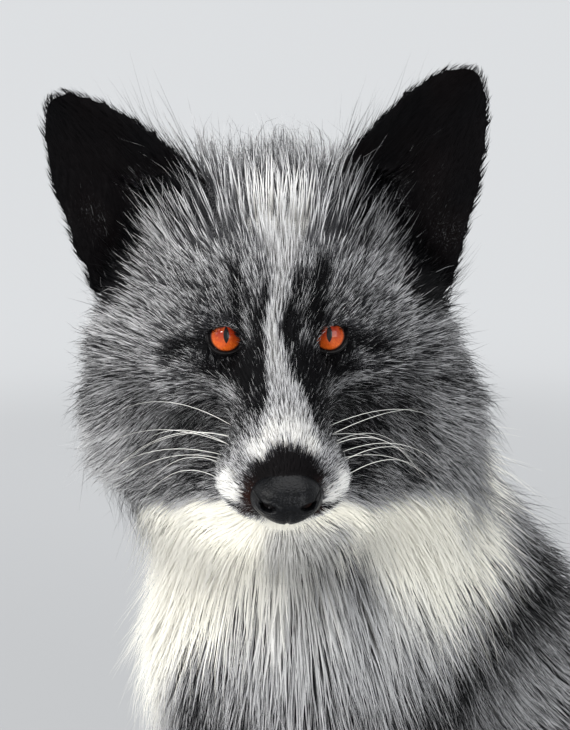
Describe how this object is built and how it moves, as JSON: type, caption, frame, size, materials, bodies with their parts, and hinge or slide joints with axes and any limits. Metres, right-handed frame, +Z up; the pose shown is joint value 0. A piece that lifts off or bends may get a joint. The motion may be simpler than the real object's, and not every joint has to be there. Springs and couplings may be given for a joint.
{
  "type": "taxidermy fox, sitting, still model with no stand",
  "caption": "Life-size still model of a long-haired silver marble fox sitting upright, head turned to its left and a little lowered, tail laid round its side.",
  "frame": {"origin": "on the floor, under the middle of the fox's bounding box", "axes": "+Z up; the chest faces -Y; +X is the fox's left side, towards which the head is turned and on which the tail lies"},
  "size_m": [0.4032, 0.54, 0.5833],
  "materials": {
    "trunk": "long silver-grey fur with black underfur",
    "neck": "long cream-white fur",
    "head": "grizzled silver fur with a white blaze",
    "muzzle": "short white fur",
    "lower_jaw": "short white fur",
    "nose": "black pebbled skin, slightly glossy",
    "ears": "short black fur",
    "eyes": "glossy orange glass eye with an upright slit pupil",
    "legs": "short black fur",
    "paws": "short black fur, dark claws",
    "tail": "long black fur ticked with silver",
    "tail_tip": "long white fur"
  },
  "bodies": {
    "root": {"chest": "trunk", "hindquarters": "trunk", "neck": "neck", "head": "head", "muzzle": "muzzle", "lower_jaw": "lower_jaw", "nose": "nose", "ear_left": "ears", "ear_right": "ears", "eye_left": "eyes", "eye_right": "eyes", "front_leg_left": "legs", "front_leg_right": "legs", "front_paw_left": "paws", "front_paw_right": "paws", "hind_leg_left": "legs", "hind_leg_right": "legs", "hind_paw_left": "paws", "hind_paw_right": "paws", "tail_base": "tail", "tail_middle": "tail", "tail_tip": "tail_tip"}
  },
  "joints": []
}
